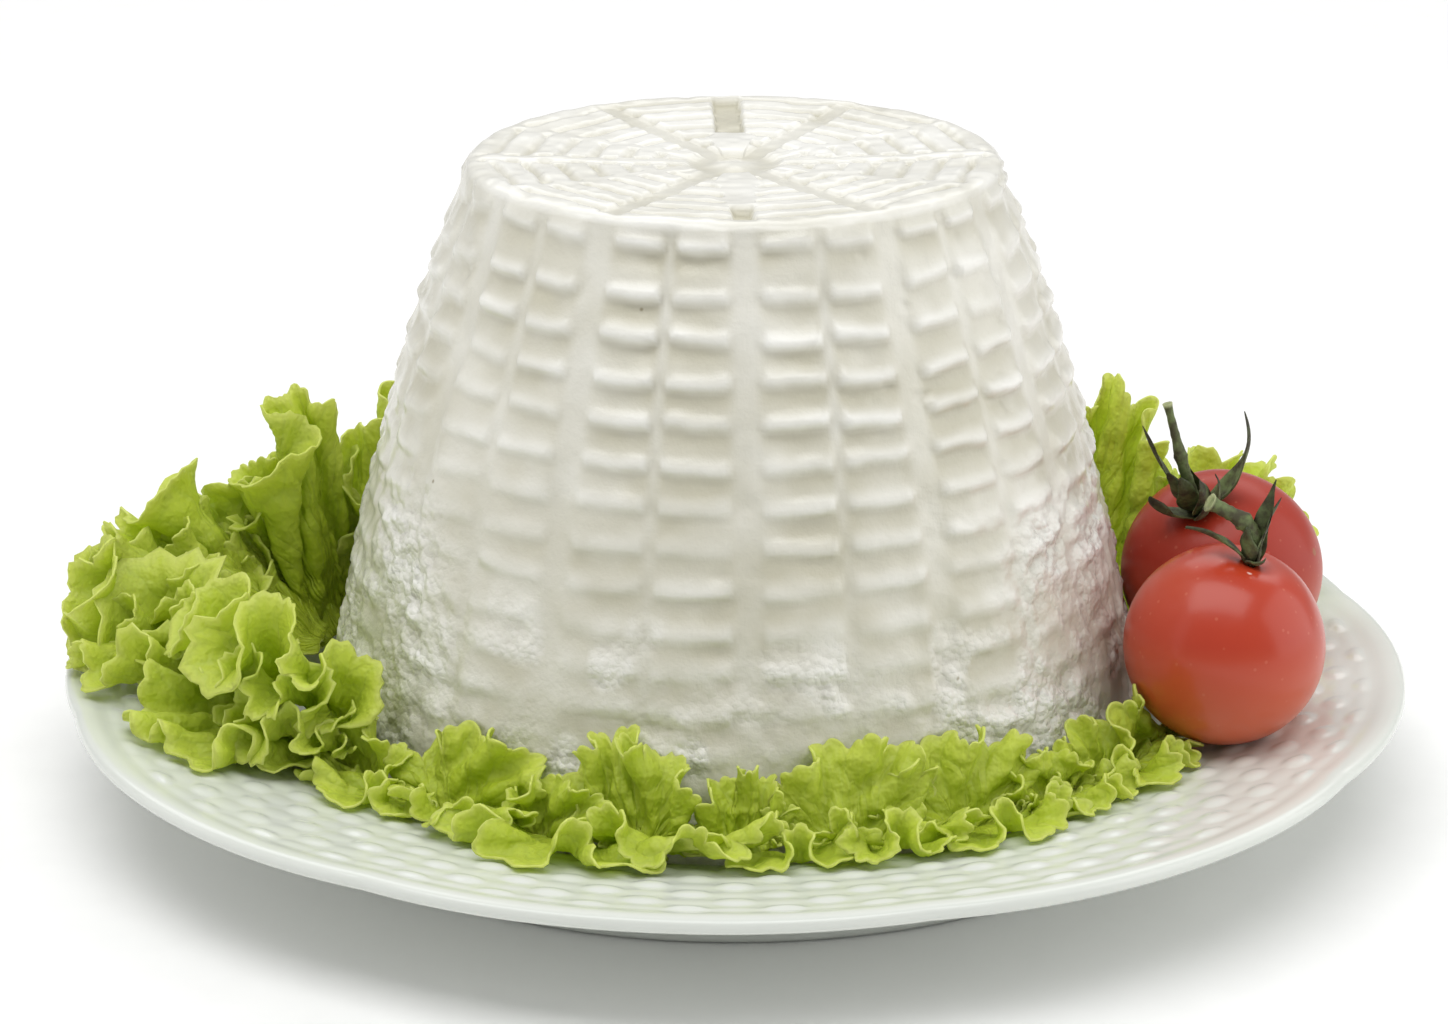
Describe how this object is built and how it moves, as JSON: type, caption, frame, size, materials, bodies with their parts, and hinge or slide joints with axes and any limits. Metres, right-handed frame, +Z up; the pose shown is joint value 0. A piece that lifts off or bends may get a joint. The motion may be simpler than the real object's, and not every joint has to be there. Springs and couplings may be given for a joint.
{
  "type": "ricotta on a plate",
  "caption": "Tall basket ricotta, ribbed by its mould, served on a round white lobed plate with frilly lettuce leaves around its foot and cherry tomatoes beside it.",
  "frame": {"origin": "middle of the plate's foot ring, on the surface that it stands on", "axes": "+Z up along the axis of the plate and the cheese, -Y towards the front, +X to the right, where the tomatoes lie"},
  "size_m": [0.2648, 0.2648, 0.124],
  "materials": {
    "porcelain": "glossy white glaze over a relief rim",
    "cheese": "moist off-white curd, satin, slightly translucent",
    "tomato": "smooth waxy red skin with a soft shine",
    "lettuce": "thin translucent leaf, yellow-green with paler edges",
    "stalk": "dull dark green, dried at the tips"
  },
  "bodies": {
    "root": {"plate": "porcelain", "ricotta": "cheese", "tomato_front": "tomato", "tomato_rear": "tomato", "calyx_front": "stalk", "calyx_rear": "stalk", "lettuce_front_left": "lettuce", "lettuce_front_middle_left": "lettuce", "lettuce_front_middle_right": "lettuce", "lettuce_front_right": "lettuce", "lettuce_by_tomatoes": "lettuce", "lettuce_left_front": "lettuce", "lettuce_left": "lettuce", "lettuce_left_back": "lettuce", "lettuce_back_left": "lettuce", "lettuce_back": "lettuce", "lettuce_back_right": "lettuce", "lettuce_right_back": "lettuce"}
  },
  "joints": []
}
